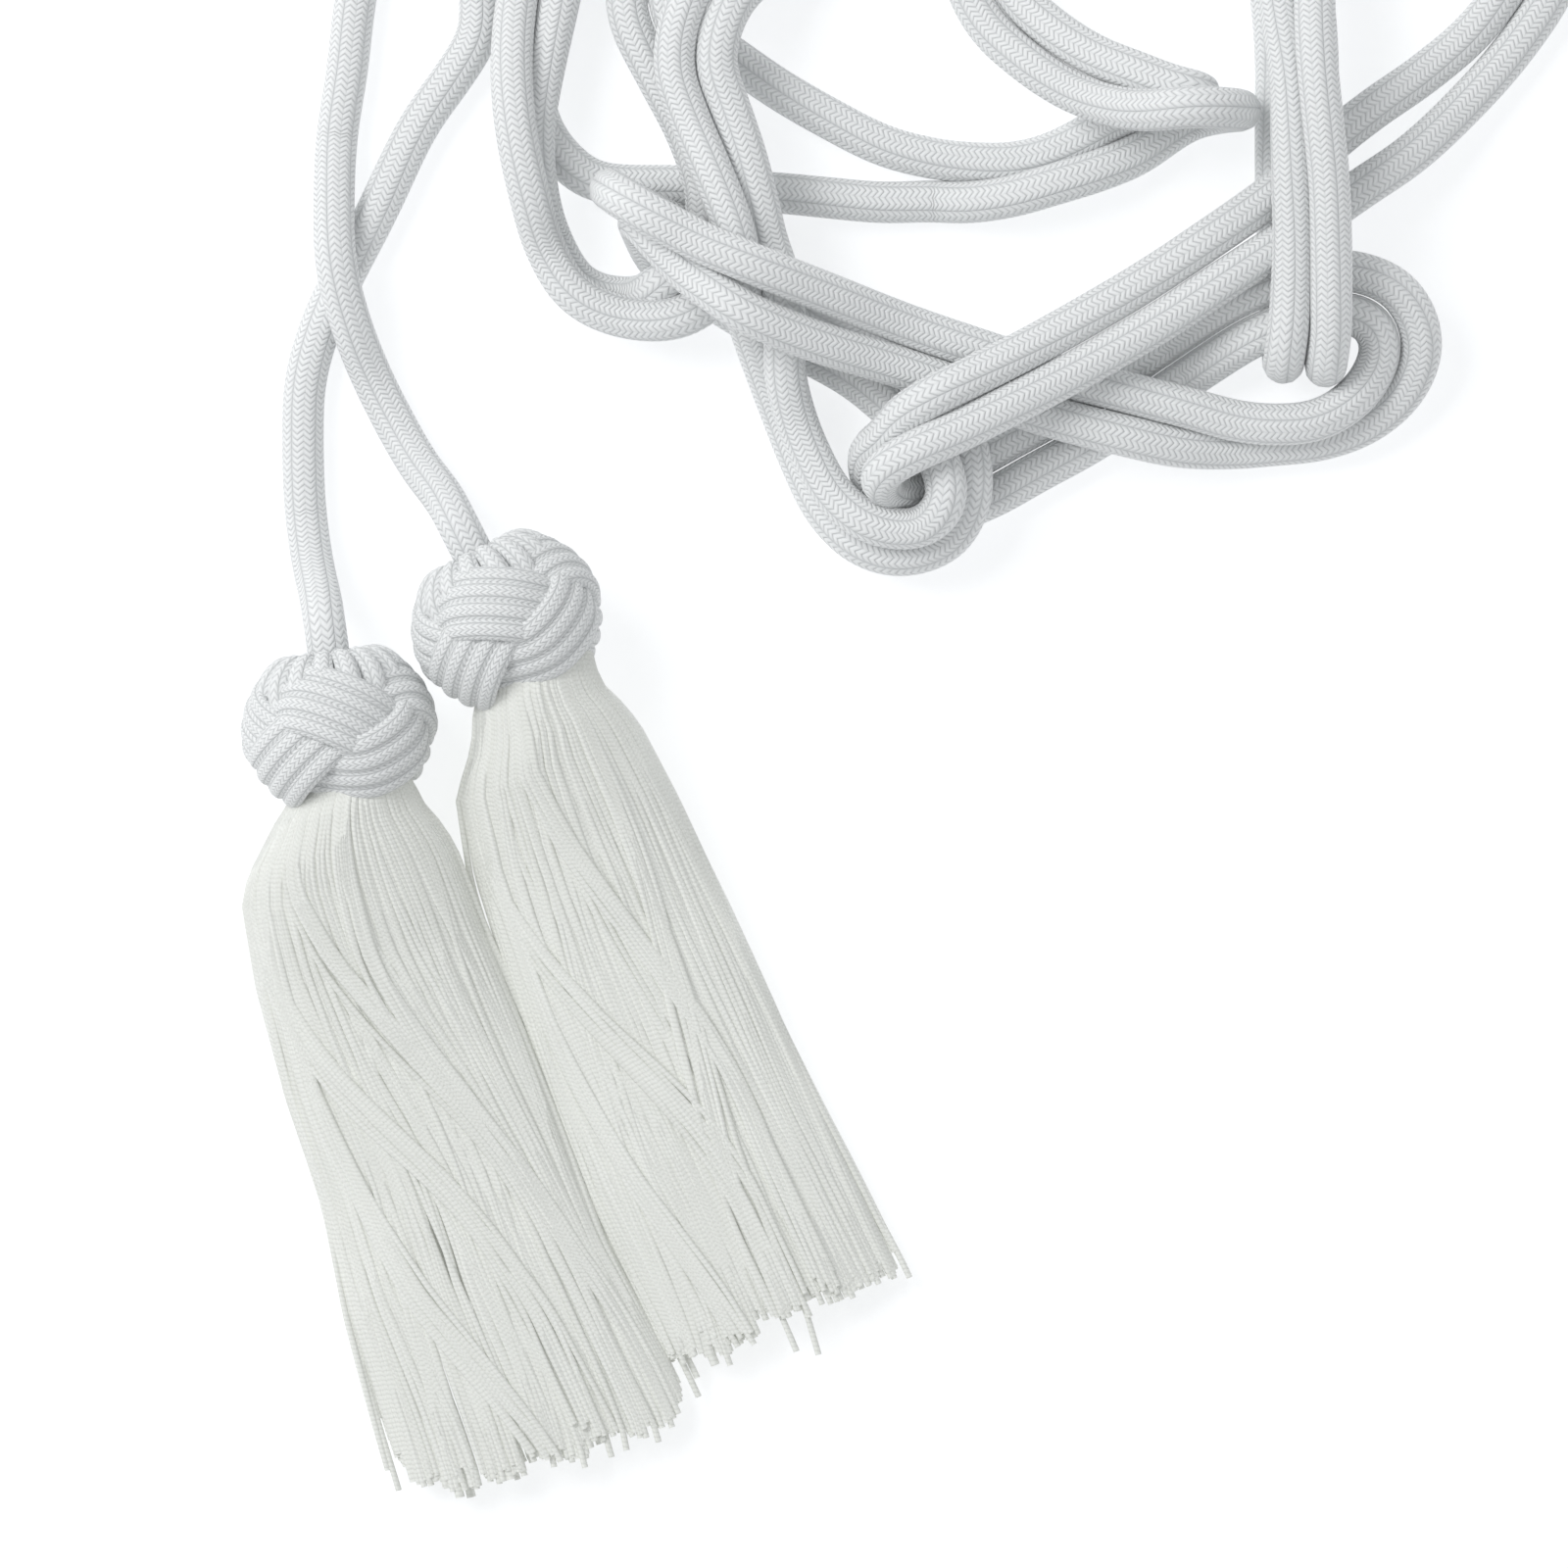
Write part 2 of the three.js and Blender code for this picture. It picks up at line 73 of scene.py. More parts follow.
# Rings along a path, which start from firstUp or, ring by ring, from ups
def tubeArrays(path, radii, sides, twist=0.0, closed=False, firstUp=(0, 0, 1), ups=None):
    path = np.asarray(path, float)
    count = len(path)
    if closed:
        heading = np.roll(path, -1, 0) - np.roll(path, 1, 0)
    else:
        heading = np.gradient(path, axis=0)
    heading /= np.linalg.norm(heading, axis=1)[:, None]
    up = np.array(firstUp, float)
    normals = np.zeros((count, 3))
    for i in range(count):
        up = up if ups is None else ups[i]
        up = up - heading[i] * up.dot(heading[i])
        up /= np.linalg.norm(up)
        normals[i] = up
    sideways = np.cross(heading, normals)
    steps = np.linalg.norm(np.diff(path, axis=0), axis=1)
    along = np.concatenate([[0], np.cumsum(steps)])
    turn = np.asarray(twist, float) * along if np.isscalar(twist) else np.asarray(twist)
    angles = 2 * np.pi * np.arange(sides) / sides
    theta = angles[None, :] + turn[:, None]
    radii = np.asarray(radii, float)
    if radii.ndim == 0:
        radii = np.full((count, sides), float(radii))
    elif radii.ndim == 1:
        radii = np.repeat(radii[:, None], sides, 1) if len(radii) == count else np.tile(radii, (count, 1))
    upwards = (np.cos(theta) * radii)[..., None] * normals[:, None]
    outwards = (np.sin(theta) * radii)[..., None] * sideways[:, None]
    verts = (path[:, None] + (upwards + outwards)).reshape(-1, 3)
    rows = count if closed else count - 1
    i = np.arange(rows)[:, None]
    j = np.arange(sides)[None, :]
    k = (j + 1) % sides
    n = (i + 1) % count
    quads = np.stack([i * sides + j, i * sides + k, n * sides + k, n * sides + j], -1).reshape(-1, 4)
    if closed:
        total = along[-1] + np.linalg.norm(path[0] - path[-1])
        ends = np.append(along, total)
    else:
        ends = along
    u = np.stack([j / sides, (j + 1) / sides, (j + 1) / sides, j / sides], -1) + np.zeros((rows, 1, 1))
    v0 = ends[:-1][:rows, None] + np.zeros((1, sides))
    v1 = ends[1:][:rows, None] + np.zeros((1, sides))
    v = np.stack([v0, v0, v1, v1], -1)
    uvs = np.stack([u, v], -1).reshape(-1, 2)
    return verts, quads, uvs


# One set of vertices, faces and uvs from those of many tubes
def joinArrays(parts):
    verts, quads, uvs = [], [], []
    offset = 0
    for v, q, t in parts:
        verts.append(v)
        quads.append(q + offset)
        uvs.append(t)
        offset += len(v)
    return np.concatenate(verts), np.concatenate(quads), np.concatenate(uvs)


def meshObject(name, verts, quads, uvs, shades=None, caps=()):
    mesh = bpy.data.meshes.new(name)
    loops = quads.reshape(-1)
    sizes = np.full(len(quads), 4)
    if len(caps):
        loops = np.concatenate([loops, *[np.asarray(c) for c in caps]])
        sizes = np.concatenate([sizes, [len(c) for c in caps]])
        uvs = np.concatenate([uvs, np.zeros((sum(len(c) for c in caps), 2))])
    mesh.vertices.add(len(verts))
    mesh.vertices.foreach_set("co", (verts + shift).reshape(-1) * mm)
    mesh.loops.add(len(loops))
    mesh.loops.foreach_set("vertex_index", loops.astype(np.int32))
    mesh.polygons.add(len(sizes))
    starts = np.concatenate([[0], np.cumsum(sizes)[:-1]])
    mesh.polygons.foreach_set("loop_start", starts.astype(np.int32))
    mesh.update(calc_edges=True)
    layer = mesh.uv_layers.new(name="along")
    layer.data.foreach_set("uv", uvs.reshape(-1).astype(np.float32))
    if shades is not None:
        attribute = mesh.attributes.new("shade", "FLOAT", "POINT")
        attribute.data.foreach_set("value", shades.astype(np.float32))
    mesh.validate()
    mesh.polygons.foreach_set("use_smooth", np.ones(len(mesh.polygons), bool))
    piece = bpy.data.objects.new(name, mesh)
    bpy.context.collection.objects.link(piece)
    return piece


def endCaps(count, sides):
    first = np.arange(sides)[::-1]
    last = (count - 1) * sides + np.arange(sides)
    return [first, last]


# Cord and knots
cordSettings = {
    "diameter": 8.2,
    "plump": 8.6,  # across the outermost stitches
    "gap": 0.4,
    "tableGap": 0.05,
    "upright": 0.4,  # a run whose level share is less than this stands up
    "sides": 24,
    "step": 1.0,
    "softening": 10,
    "rows": 10,
    "grooveDepth": 0.035,
    # slow twists of the braid: size, length along the cord and phase
    "twists": [(0.35, 90, 0), (0.25, 37, 1)],
}
knotSettings = {
    "diameter": 39.0,
    "length": 36.0,
    "headDepth": 8.0,
    "fitGap": 0.3,
    "left": {"place": (-45.5, 56.5), "turn": 8.0, "fringeTurn": 15.3},
    "right": {"place": (-11.236, 78.347), "turn": 27.0, "fringeTurn": 21.6},
}
storey = cordSettings["diameter"] + cordSettings["gap"]

# The cord's route: x, y and how many storeys above the table, where a storey is one strand's height
rightTail = [
    (-24.5, 104, 1.25), (-29.5, 110.5, 0.55), (-34.5, 119, 0.1), (-39.5, 129, 0.1),
    (-44, 141, 0.8), (-46.5, 152, 1.05), (-47, 165.5, 0.6), (-46.5, 178.5, 0), (-44.5, 191.5, 0),
    (-43, 204.5, 0), (-40.5, 218, 0), (-36, 231, 0),
]
leftTail = [
    (-49.5, 83.5, 1.25), (-51.3, 90.5, 0.45), (-53, 102, 0), (-53.5, 116, 0), (-53, 128, 0),
    (-50, 139, 0), (-45.5, 149, 0), (-38.5, 162.5, 0), (-30, 180, 0), (-22, 191.5, 0),
    (-18, 198.5, 0), (-17.5, 207, 0), (-19.5, 218, 0), (-22, 230, 0),
]
# x, y, storey, tilt of the two strands in degrees and, where they spread, their distance in storeys
pairRoute = [
    # the first turn, past the picture's top edge
    (-27.5, 242, 0, 0), (-24.5, 256, 0, 0), (-13.5, 266, 0, 0), (-1, 262, 0, 0),
    (4.5, 249, 0.8, 0), (2.5, 234, 1, 0), (-2.5, 219, 1, 0), (-5.5, 205, 1.1, -10),
    # down to the left bight and back up
    (-7.5, 191.5, 1.3, -40), (-8, 179, 1.45, -65), (-6.5, 167, 1.2, -78), (-3.5, 156, 0.5, -78),
    (2.5, 146.5, 0.48, -75), (12.5, 143, 0.55, -60), (22.5, 144.8, 1.2, -10),
    (30.5, 152.5, 1.05, 0), (33, 165, 1.05, 0), (29, 179, 1, 0), (22.5, 191.5, 1, 0),
    # the second turn, past the top edge
    (17, 203, 1, 0), (17, 212, 1, 0), (19.5, 223, 1, 0), (25.5, 234, 0.4, 0), (35.5, 240, 0, 0),
    (45.5, 237, 0, 0), (48.5, 227, 0.2, 0), (42, 217, 0.8, 0), (33, 210, 1.6, 0),
    (28, 201, 2.05, 0),
    # down to the middle bight
    (26.5, 191.5, 2.1, 0), (29.4, 182, 2.15, -8), (33, 172.5, 2.3, -25), (36.6, 161.6, 2.3, -42),
    (38.2, 155, 2.15, -45), (39.5, 148, 1.9, -15), (40.8, 141, 1.5, 25), (42.3, 131, 1.1, 62),
    (45.4, 121, 0.6, 74), (48.8, 112.5, 0.55, 74), (53.5, 103.5, 0.7, 68), (60.5, 97, 0.95, 58),
    (68, 95, 1, 52), (75.5, 97, 1.15, 54), (80, 104, 1.55, 56), (78.5, 113.5, 1.35, 40),
    (73.5, 121, 0.45, 10),
    # up to the left, beneath the next run
    (67.5, 127, 0.15, 0), (60.5, 132.5, 0, 0), (50.5, 138, 0, 0), (38.5, 144.5, 0, 0),
    (28, 151.3, 0, 0), (21.8, 155.5, 0.15, 5),
    # folded back over itself
    (17.3, 158.6, 0.7, 45), (13.8, 161.6, 1.3, 72), (12, 163.2, 2.05, 82), (13.8, 161.8, 2.8, 80),
    (17.5, 159.1, 3, 72), (22, 155.6, 3, 57),
    # down to the right, on top
    (27, 151.8, 3.15, 40), (32, 149, 3.35, 22), (37.5, 146, 3.4, 5, 1.1),
    (51.5, 140.5, 2.6, 0, 1.15), (68, 135, 1.6, 0), (84.5, 129.5, 1.3, 0), (100.5, 124.5, 1.1, 0),
    (114.5, 121, 1, 0), (125.5, 118.5, 0.8, 20), (136, 117, 0.5, 50),
    # round the right bight
    (144.5, 117, 0.5, 62), (153.5, 118, 0.5, 62), (162, 122, 0.5, 48), (168, 128.5, 0.55, 28),
    (170, 136, 0.8, 10), (166.5, 143, 1, 0), (159, 146, 1.05, 0), (149, 145, 1, 0),
    (138.5, 141, 0.9, 0), (125.5, 133, 0.05, 0), (114.5, 125.5, 0, 0), (104.5, 119, 0, 0),
    (93.5, 113, 0, 0), (84.5, 108, 0, 0),
    # hooked round the middle bight
    (75.5, 104.5, 0.25, -30), (69.5, 104, 0.45, -60), (65.5, 106.5, 0.75, -70),
    (63.2, 110, 1.4, -75), (65, 113, 2.1, -60), (70, 117, 2.45, -30),
    # up to the right, on top
    (76.5, 120.5, 2.6, 0), (86.5, 125.5, 2.4, 0), (98, 131.5, 2.1, 0), (118, 143, 1.9, 0),
    (131, 151.5, 1.8, 0), (148.5, 163.5, 1.1, 0, 1.1), (158.5, 171.5, 1, 0, 1.3),
    (168, 178.5, 0.7, 0, 1.4),
    # the third turn, past the right edge
    (178.5, 187, 0.2, 0, 1.2), (189.5, 198, 0, 0), (198.5, 212, 0, 0), (202.5, 228, 0, 0),
    (198, 244, 0, 0), (186.5, 254, 0, 0), (172.5, 254, 0, 0), (160.5, 246, 0.3, 0),
    (152.5, 234, 0.9, 0), (148.5, 218, 1.3, 12),
    # down over the others, and folded back beneath them
    (148.5, 204, 1.9, 38), (149.5, 190.5, 2.4, 50), (150.3, 179, 2.5, 43), (151, 168, 2.45, 33),
    (151.3, 157, 2.35, 30), (151.2, 146, 2.25, 22), (150.8, 137, 2.1, 0), (150.3, 133, 1.8, 0),
    (150.2, 130.9, 1.08, 0), (150.3, 133, 0.3, 0), (150.3, 138, 0, 0), (149.6, 146, 0, 0),
    (149.2, 158, 0, 0), (149, 170, 0, 0), (149, 182, 0, 0), (149, 194, 0, 0),
    # the fourth turn, past the top edge
    (148, 206, 0, 0), (145.5, 218, 0, 0), (140.5, 231, 0, 0), (129.5, 241, 0, 0),
    (114.5, 244, 0, 0), (99.5, 239, 0, 0), (88.5, 228, 0, 0), (84.5, 215, 0.1, 0),
    (88.5, 204, 0.4, 0),
    # right to a fold, and back to the left beneath
    (96.5, 196, 0.9, 0), (105.5, 190, 1.35, 0), (114.5, 186.5, 1.9, -20), (120.5, 185, 2.2, -45),
    (126, 184.7, 2.42, -62), (130.6, 184.5, 2.15, -67), (133.4, 184.3, 1.4, -70),
    (130.6, 184, 0.65, -67), (126, 183.3, 0.42, -60), (120.5, 181.2, 0.35, -38),
    (114.5, 178, 0.15, 5), (106.5, 174, 0.25, 30), (98.5, 171, 0.3, 42), (90.5, 169, 0.3, 35),
    (81.5, 168.5, 0.15, 15), (75.5, 169, 0, 0),
]
middleLoop = [
    (65, 176, 0), (53, 182, 0), (43.5, 187.5, 0), (35.5, 193, 0), (27.5, 199, 0), (20.5, 207, 0),
    (15, 217, 0), (12, 228, 0), (6.5, 238, 0), (-1.5, 240.5, 0), (-7, 234, 0), (-9, 223, 0),
    (-9, 211, 0), (-8, 199, 0), (-7, 188, 0), (-4.5, 179, 0), (0, 173, 0), (5.5, 169, 0),
    (13.5, 168, 0), (22.5, 168, 0), (32.5, 167, 0), (42.5, 166.5, 0), (53, 165.5, 0),
    (64.5, 164.5, 0),
]


def routePoint(row):
    return np.array([row[0], row[1], cordSettings["diameter"] / 2 + row[2] * storey])


# The two strands of the doubled cord, beside or on each other
def pairStrands(route):
    middle = [routePoint(row) for row in route]
    first, second = [], []
    side = np.array([-1.0, 0, 0])
    for i, row in enumerate(route):
        heading = middle[min(i + 1, len(middle) - 1)] - middle[max(i - 1, 0)]
        heading = heading / np.linalg.norm(heading)
        level = np.array([-heading[1], heading[0], 0.0])
        if np.linalg.norm(level) > cordSettings["upright"]:
            level /= np.linalg.norm(level)
            if level.dot(side) < 0:
                level = -level
            side = level
        else:
            side = side - heading * side.dot(heading)
            side /= np.linalg.norm(side)
        rise = np.cross(heading, side)
        tilt = math.radians(row[3])
        spread = row[4] if len(row) > 4 else 1
        offset = (side * math.cos(tilt) + rise * math.sin(tilt)) * spread * storey / 2
        first.append(middle[i] + offset)
        second.append(middle[i] - offset)
    return first, second


def knotAxes(side):
    settings = knotSettings[side]
    angle = math.radians(settings["turn"] - 90)
    centre = np.array([*settings["place"], knotSettings["diameter"] / 2])
    return centre, np.array([math.cos(angle), math.sin(angle), 0.0])


def knotExit(side):
    centre, down = knotAxes(side)
    half = knotSettings["length"] / 2
    start = -knotSettings["headDepth"] - knotSettings["fitGap"]
    return [centre + down * along for along in (start, -half, -half - cordSettings["diameter"] / 2)]


# A centripetal Catmull-Rom curve through the points
def smoothCurve(points, perSpan=12):
    points = [np.asarray(p, float) for p in points]
    points = [2 * points[0] - points[1], *points, 2 * points[-1] - points[-2]]
    out = []
    for i in range(1, len(points) - 2):
        p0, p1, p2, p3 = points[i - 1 : i + 3]
        d0, d1, d2 = [max(np.linalg.norm(b - a) ** 0.5, 1e-4) for a, b in ((p0, p1), (p1, p2), (p2, p3))]
        t1 = ((p1 - p0) / d0 - (p2 - p0) / (d0 + d1) + (p2 - p1) / d1) * d1
        t2 = ((p2 - p1) / d1 - (p3 - p1) / (d1 + d2) + (p3 - p2) / d2) * d1
        for t in np.arange(perSpan) / perSpan:
            out.append(
                p1 + t1 * t + (-3 * p1 + 3 * p2 - 2 * t1 - t2) * t**2 + (2 * p1 - 2 * p2 + t1 + t2) * t**3
            )
    out.append(points[-2])
    return np.array(out)


def evenSteps(path, step):
    lengths = np.concatenate([[0], np.cumsum(np.linalg.norm(np.diff(path, axis=0), axis=1))])
    count = int(round(lengths[-1] / step)) + 1
    even = np.linspace(0, lengths[-1], count)
    return np.stack([np.interp(even, lengths, path[:, k]) for k in range(3)], 1)


def softened(path, passes):
    for _ in range(passes):
        path[1:-1] = 0.5 * path[1:-1] + 0.25 * (path[:-2] + path[2:])
    return path


def makeCord():
    first, second = pairStrands(pairRoute)
    points = [
        *knotExit("right"),
        *[routePoint(row) for row in rightTail],
        *first,
        *[routePoint(row) for row in middleLoop],
        *second[::-1],
        *[routePoint(row) for row in leftTail[::-1]],
        *knotExit("left")[::-1],
    ]
    path = evenSteps(smoothCurve(points), cordSettings["step"])
    path = softened(path, cordSettings["softening"])
    path[:, 2] = np.maximum(path[:, 2], cordSettings["plump"] / 2 + cordSettings["tableGap"])
    sides, rows = cordSettings["sides"], cordSettings["rows"]
    phase = (np.arange(sides) * rows / sides) % 1
    profile = cordSettings["plump"] / 2 * (1 - cordSettings["grooveDepth"] * (1 - np.sin(np.pi * phase)))
    along = np.arange(len(path)) * cordSettings["step"]
    twist = sum(size * np.sin(along / length + start) for size, length, start in cordSettings["twists"])
    verts, quads, uvs = tubeArrays(path, profile, sides, twist=twist)
    cord = meshObject("braided_cord", verts, quads, uvs, caps=endCaps(len(path), sides))
    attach(cord, "root")
    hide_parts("cord")
    return cord


cord = makeCord()

# Knots
weave = {
    "turns": 3,
    "swings": 4,
    "plies": (-1.5, -0.5, 0.5, 1.5),
    "plump": 1.04,  # the band's size as a share of the knot's
    "plyWidth": 4.5,
    "plyThickness": 3.3,
    "plyPitch": 3.75,
    "plySides": 14,
    "plySteps": 480,
    "reach": 31.0,  # degrees either side of the ball's middle
    "lift": 1.6,
    "liftSlope": 0.75,
    "liftSoftening": 20,
    "startAngle": {"left": 0.3, "right": 0.36},
    "coreRadius": 12.4,
    "corePitch": 2.3,
    "coreThread": 2.8,
    "coreSides": 6,
    "coreSteps": 44,  # in a turn
    "coreReach": 60.0,
    "rimPlies": 16,
    "rimSides": 10,
    "rimSteps": 4,  # between the rows
    # distance along the knot, radius and thickness of a ply that turns over the rim
    "rim": [
        (-6, 13.6, 2.5), (-10.5, 13.3, 2.5), (-14, 10.6, 2.2),
        (-14.7, 8.3, 1.9), (-12.5, 6.6, 1.5), (-8, 6.1, 1.3),
    ],
}


# One ply of the woven band, and the directions that face outwards
def weavePath(ply, startAngle):
    s = np.linspace(0, 2 * np.pi * weave["swings"], weave["plySteps"], endpoint=False)
    around = s * weave["turns"] / weave["swings"] + startAngle
    latitude = np.radians(weave["reach"]) * np.sin(s)
    radius = knotSettings["diameter"] / 2 - weave["plyThickness"] / 2 - weave["lift"]
    # over one crossing and under the next
    lift = weave["lift"] * np.clip(np.sin(2 * s) / weave["liftSlope"], -1, 1)
    for _ in range(weave["liftSoftening"]):
        lift = 0.5 * lift + 0.25 * (np.roll(lift, 1) + np.roll(lift, -1))
    squash = knotSettings["length"] / knotSettings["diameter"]

    def ball(latitude, around, radius):
        return np.stack(
            [
                radius * np.sin(latitude) * squash,
                radius * np.cos(latitude) * np.cos(around),
                radius * np.cos(latitude) * np.sin(around),
            ],
            -1,
        )

    line = ball(latitude, around, radius + lift)
    heading = np.roll(line, -1, 0) - np.roll(line, 1, 0)
    heading /= np.linalg.norm(heading, axis=1)[:, None]
    outward = ball(latitude, around, 1.0)
    outward /= np.linalg.norm(outward, axis=1)[:, None]
    aside = np.cross(outward, heading)
    moved = line + aside * ply * weave["plyPitch"]
    # back onto the ball, so that the outer plies wrap round it
    size = np.linalg.norm(moved / np.array([squash, 1, 1]), axis=1)
    moved = moved * ((radius + lift) / size)[:, None]
    facing = moved / np.linalg.norm(moved, axis=1)[:, None]
    return moved, facing


def ovalProfile(thickness, width, sides):
    angles = 2 * np.pi * np.arange(sides) / sides
    return thickness * width / 2 / np.hypot(width * np.cos(angles), thickness * np.sin(angles))


# The wound core that shows between the plies
def coreWinding():
    reach = math.radians(weave["coreReach"])
    turns = 2 * weave["coreRadius"] * reach / weave["corePitch"]
    share = np.linspace(-1, 1, int(turns * weave["coreSteps"]))
    latitude = share * reach
    around = share * turns * math.pi
    radius = weave["coreRadius"] - weave["coreThread"] / 2
    return radius * np.stack(
        [np.sin(latitude), np.cos(latitude) * np.cos(around), np.cos(latitude) * np.sin(around)], -1
    )


def makeKnot(side):
    centre, down = knotAxes(side)
    centre[2] *= weave["plump"]
    across = np.array([-down[1], down[0], 0.0])
    basis = np.stack([down, across, np.array([0, 0, 1.0])], 0)
    startAngle = weave["startAngle"][side]
    sides = weave["plySides"]
    profile = ovalProfile(weave["plyThickness"], weave["plyWidth"], sides)
    parts = []
    for ply in weave["plies"]:
        path, facing = weavePath(ply, startAngle)
        path = weave["plump"] * path @ basis + centre
        parts.append(tubeArrays(path, profile, sides, closed=True, ups=facing @ basis))
    path = coreWinding() @ basis + centre
    parts.append(tubeArrays(path, weave["coreThread"] / 2, weave["coreSides"], firstUp=(0.1, 0.2, 1)))
    rows = smoothCurve(weave["rim"], weave["rimSteps"])
    for index in range(weave["rimPlies"]):
        angle = startAngle + 2 * math.pi * (index + 0.5) / weave["rimPlies"]
        outward = np.array([0, math.cos(angle), math.sin(angle)])
        path = np.stack([rows[:, 0], rows[:, 1] * outward[1], rows[:, 1] * outward[2]], -1)
        path = path @ basis + centre
        parts.append(tubeArrays(path, rows[:, 2], weave["rimSides"], firstUp=outward @ basis))
    knot = meshObject(side + "_weave", *joinArrays(parts))
    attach(knot, "root")
    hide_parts(side + "_knot")
    return knot


knots = {side: makeKnot(side) for side in ("left", "right")}
print("knots woven")

# Fringes
goldenShare = 0.618034  # steps of this share of the width fill it evenly
fringe = {
    "length": 152.0,
    "halfWidth": 30.0,
    "start": 8.0,
    "stations": 40,
    # threads
    "threads": 420,
    "thread": 1.35,
    "sides": 5,
    "twist": 0.03,
    "underEvery": 5,  # of so many threads, one runs along the underside
    "tableGap": 0.05,
    "seeds": {"left": 7, "right": 12},
    # shares of the skirt's thickness, thread by thread
    "layers": (1.0, 0.95, 0.975, 0.93),
    # threads as deep as this lie evenly and are thicker, so that nothing dark shows between the locks
    "innerLayer": 0.94,
    "innerFollow": 0.15,
    "innerThickness": 1.5,
    # locks: how many, how wide, and their sweep, wave, bunching, lift and length
    "locks": 14,
    "lockWidth": (0.5, 1.7),
    "leftDrift": (0.05, 0.23),
    "rightDrift": (-0.05, 0.15),
    "lockWave": (-0.035, 0.035),
    "lockPhase": (0, 6.3),
    "lockBunch": (0.0, 0.2),
    "lockLift": (-0.1, 0.4),
    "lockEnd": 0.006,
    "crown": 0.3,  # how far a lock's middle stands above its edges
    # what each thread adds by itself, as shares of the length and the width
    "ownEnd": 0.007,
    "ownDrift": 0.012,
    "slowWave": 0.014,
    "quickWave": 0.004,
    # angles that the waves of locks and threads run through along the length
    "lockAngle": 6.5,
    "slowAngle": 6,
    "quickAngle": 17,
    # distance and radius of the bundle as it leaves the knot, and where it turns into the skirt
    "neck": [(8, 9.0), (11, 11.5), (13, 13.5), (15, 15.0)],
    "neckEnd": 11.5,
    "neckBlend": 5.0,
    # share of the length, left and right half widths, top and underside as shares of the knot
    "left": [
        (0.08, 0.5, 0.36, 0.8, 0.2),
        (0.105, 0.64, 0.4, 0.82, 0.18),
        (0.132, 0.75, 0.44, 0.8, 0.15),
        (0.155, 0.87, 0.5, 0.78, 0.1),
        (0.19, 0.96, 0.54, 0.73, 0.04),
        (0.3, 1.02, 0.58, 0.58, -0.05),
        (0.45, 1.03, 0.68, 0.46, -0.05),
        (0.6, 0.98, 0.76, 0.39, -0.05),
        (0.75, 1.0, 0.83, 0.35, -0.05),
        (0.93, 0.97, 1.03, 0.28, -0.05),
        (1.0, 0.96, 1.1, 0.25, -0.05),
    ],
    "right": [
        (0.08, 0.42, 0.4, 0.8, 0.2),
        (0.105, 0.46, 0.43, 0.82, 0.18),
        (0.132, 0.52, 0.47, 0.8, 0.15),
        (0.155, 0.6, 0.53, 0.78, 0.1),
        (0.19, 0.75, 0.58, 0.73, 0.04),
        (0.3, 0.86, 0.64, 0.58, -0.05),
        (0.45, 0.91, 0.69, 0.46, -0.05),
        (0.6, 0.93, 0.73, 0.39, -0.05),
        (0.75, 0.94, 0.76, 0.35, -0.05),
        (0.93, 0.88, 0.82, 0.28, -0.05),
        (1.0, 0.88, 0.85, 0.25, -0.05),
    ],
    # the cut ends from left to right, as shares of the length
    "leftEnds": (0.95, 0.98, 1.0, 1.01, 1.01, 1.01, 1.0, 0.99, 0.98, 0.97, 0.955, 0.94),
    "rightEnds": (0.97, 0.99, 1.0, 1.0, 0.98, 0.97, 0.98, 0.99, 0.99, 0.99, 0.98, 0.97),
    # groups that cross over the rest: place across, width, shift and where the crossing starts
    "leftSweeps": [
        (0.1, 0.07, 0.5, 0.1), (0.3, 0.05, 0.4, 0.0), (0.5, 0.05, 0.28, 0.2), (0.2, 0.04, 0.3, 0.4),
    ],
    "rightSweeps": [
        (0.12, 0.06, 0.42, 0.1), (0.4, 0.05, 0.26, 0.0), (0.66, 0.05, -0.16, 0.2), (0.2, 0.04, 0.2, 0.45),
    ],
    "sweepThreads": 10,
    "sweepLength": 0.75,
    "sweepFollow": 0.3,  # how far they follow their lock
    "sweepRise": 1.0,
    # loose threads: place across, length, how far they bow and end aside
    "leftStrays": [
        (0.02, 1.0, 0.4, -1.8), (0.03, 0.97, 0.8, -2.8), (0.01, 0.9, 0.2, -1.0),
        (0.96, 0.985, 1.5, 2.5), (0.98, 0.96, 1.0, 4.0), (0.5, 1.035, 0.0, 1.0),
    ],
    "rightStrays": [
        (0.52, 1.06, 0.0, -2.0), (0.55, 1.045, 1.0, -1.0), (0.98, 1.01, -0.7, 2.0),
        (0.97, 0.97, -0.6, 1.4), (0.3, 1.03, 0.0, 1.0), (0.02, 0.98, -2.0, 0.0),
    ],
}
plainThread = {"length": None, "bow": 0.0, "aside": 0.0, "shift": 0.0, "late": 0.0, "loose": False}


# Middle, half width, underside and top at a distance from the knot's middle
def fringeSection(side, along):
    table = np.array(fringe[side])
    share = along / fringe["length"]
    left, right, top, under = [np.interp(share, table[:, 0], table[:, k]) for k in (1, 2, 3, 4)]
    left, right = left * fringe["halfWidth"], right * fringe["halfWidth"]
    top, under = top * knotSettings["diameter"], under * knotSettings["diameter"]
    return (right - left) / 2, (right + left) / 2, under, top


def eased(value):
    value = min(max(value, 0.0), 1.0)
    return value * value * (3 - 2 * value)


